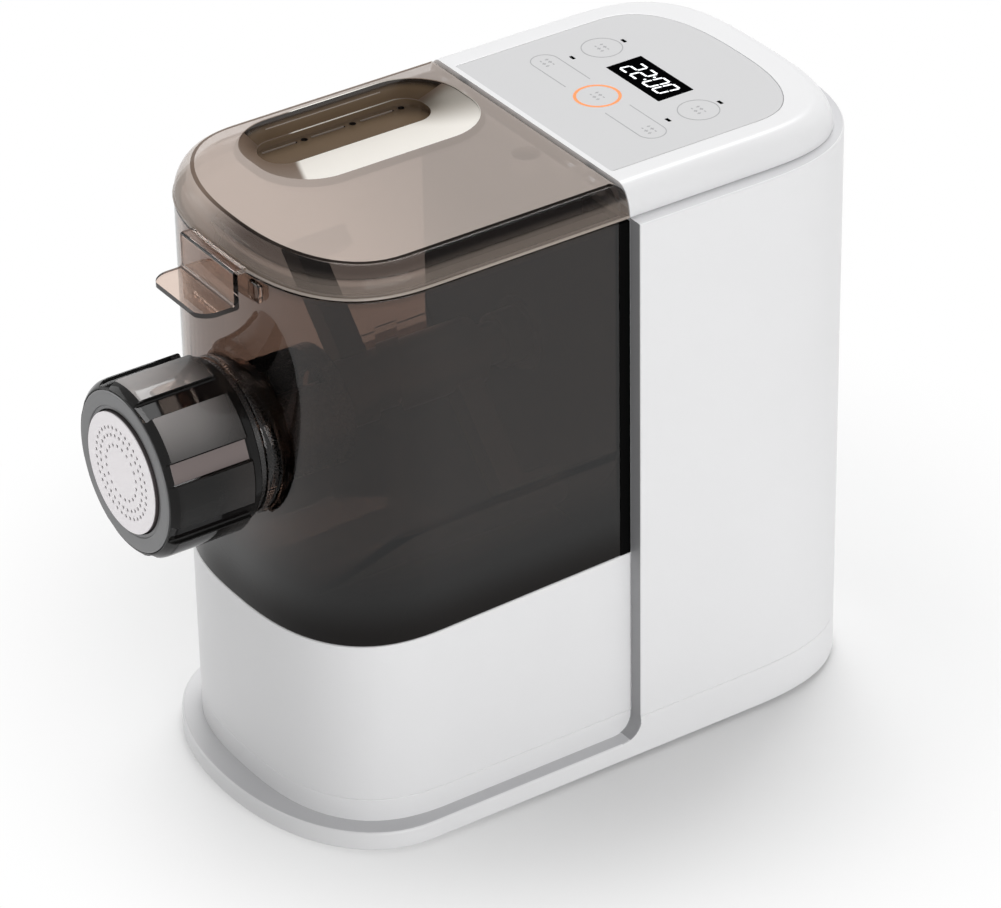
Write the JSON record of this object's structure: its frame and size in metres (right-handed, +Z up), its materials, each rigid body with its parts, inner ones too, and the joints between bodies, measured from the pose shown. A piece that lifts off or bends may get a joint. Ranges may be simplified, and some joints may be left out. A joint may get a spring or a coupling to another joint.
{
  "type": "electric pasta maker",
  "caption": "Electric pasta maker with a white control tower, a smoky removable mixing chamber with a hinged lid on a pedestal, and an extrusion head held by a lock nut.",
  "frame": {"origin": "on the worktop under the middle of the machine's length and width", "axes": "-Y towards the extrusion head, +X along the width, +Z up"},
  "size_m": [0.16, 0.33, 0.2726],
  "materials": {
    "white_shell": "glossy white ABS",
    "panel_grey": "light grey key panel",
    "display_black": "black display window",
    "key_ring_orange": "orange light ring",
    "lens_dark": "dark indicator lens",
    "circuit_green": "green circuit board",
    "component_dark": "dark electronic parts",
    "spring_steel": "steel",
    "reed_red": "dark red sensor",
    "aluminium": "cast or extruded aluminium",
    "inlet_black": "black inlet housing",
    "brass": "brass",
    "lamination": "stacked steel laminations",
    "copper": "enamelled copper winding",
    "steel": "steel",
    "rubber_dark": "dark rubber",
    "silicone_grey": "grey silicone",
    "seal_red": "red-brown silicone seal",
    "bronze": "sintered bronze",
    "gear_case": "die-cast housing",
    "smoky_clear": "smoky see-through plastic",
    "barrel_black": "black plastic",
    "nut_black": "glossy black plastic",
    "ring_grey": "grey ring",
    "die_white": "white extrusion die",
    "screw_dark": "dark brown plastic",
    "gear_pom": "natural acetal",
    "magnet": "nickelled magnet",
    "lead_brown": "insulated wire",
    "lead_blue": "insulated wire"
  },
  "bodies": {
    "base": {"base_tray": "white_shell", "rubber_feet": "rubber_dark", "rear_housing": "white_shell", "front_pedestal": "white_shell", "top_cover": "white_shell", "control_panel": "panel_grey", "display_window": "display_black", "start_key_ring": "key_ring_orange", "indicator_lenses": "lens_dark", "control_board": "circuit_green", "display_module": "component_dark", "touch_springs": "spring_steel", "reed_switch": "reed_red", "power_board": "circuit_green", "board_components": "component_dark", "heat_sink": "aluminium", "mains_inlet": "inlet_black", "inlet_pins": "brass", "stator_core": "lamination", "stator_windings": "copper", "front_end_bell": "aluminium", "rear_end_bell": "aluminium", "motor_bolts": "steel", "motor_bracket": "steel", "motor_dampers": "rubber_dark", "motor_bushes": "bronze", "gearbox_case": "gear_case", "gearbox_cover": "gear_case", "gear_pins": "steel", "output_bushes": "bronze", "gearbox_screws": "steel", "housing_screws": "steel", "cover_screws": "steel", "board_screws": "steel", "bracket_screws": "steel", "mains_leads": "lead_brown", "motor_leads": "lead_blue"},
    "chamber": {"mixing_chamber": "smoky_clear", "chamber_back": "barrel_black", "shaft_seal": "seal_red", "screw_barrel": "barrel_black", "barrel_gasket": "silicone_grey", "die_gasket": "silicone_grey", "die_disc": "die_white"},
    "nut": {"lock_nut": "nut_black", "nut_ring": "ring_grey"},
    "lid": {"lid": "smoky_clear", "hinge_pins": "steel", "lid_magnet": "magnet"},
    "stirrer": {"extrusion_screw": "screw_dark", "stirring_paddle": "screw_dark"},
    "output": {"output_gear": "gear_pom", "output_shaft": "steel"},
    "gear_2": {"second_gear": "gear_pom"},
    "gear_1": {"first_gear": "gear_pom"},
    "rotor": {"motor_pinion": "steel", "rotor_core": "lamination", "rotor_shaft": "steel", "cooling_fan": "component_dark"}
  },
  "joints": [
    {"name": "chamber_slide", "type": "slide", "parent": "base", "child": "chamber", "axis": [0, -1, 0], "range_m": [0, 0.06]},
    {"name": "lid_hinge", "type": "hinge", "parent": "chamber", "child": "lid", "pos_m": [0, 0.0293, 0.2688], "axis": [-1, 0, 0], "range_deg": [0, 75]},
    {"name": "nut_turn", "type": "hinge", "parent": "chamber", "child": "nut", "pos_m": [0, -0.1415, 0.1743], "axis": [0, 1, 0], "range_deg": [0, 60]},
    {"name": "screw_turn", "type": "hinge", "parent": "chamber", "child": "stirrer", "pos_m": [0, -0.0465, 0.1743], "axis": [0, 1, 0], "continuous": true},
    {"name": "output_turn", "type": "hinge", "parent": "base", "child": "output", "pos_m": [0, 0.0595, 0.1743], "axis": [0, 1, 0], "continuous": true},
    {"name": "gear2_turn", "type": "hinge", "parent": "base", "child": "gear_2", "pos_m": [0, 0.0595, 0.13405], "axis": [0, 1, 0], "continuous": true},
    {"name": "gear1_turn", "type": "hinge", "parent": "base", "child": "gear_1", "pos_m": [0, 0.0595, 0.0958], "axis": [0, 1, 0], "continuous": true},
    {"name": "rotor_turn", "type": "hinge", "parent": "base", "child": "rotor", "pos_m": [0, -0.0405, 0.0583], "axis": [0, 1, 0], "continuous": true}
  ],
  "couplings": [
    {"joint": "gear1_turn", "follows": "rotor_turn", "ratio": -0.2766},
    {"joint": "gear2_turn", "follows": "rotor_turn", "ratio": 0.094625},
    {"joint": "output_turn", "follows": "rotor_turn", "ratio": -0.037276},
    {"joint": "screw_turn", "follows": "rotor_turn", "ratio": -0.037276}
  ]
}
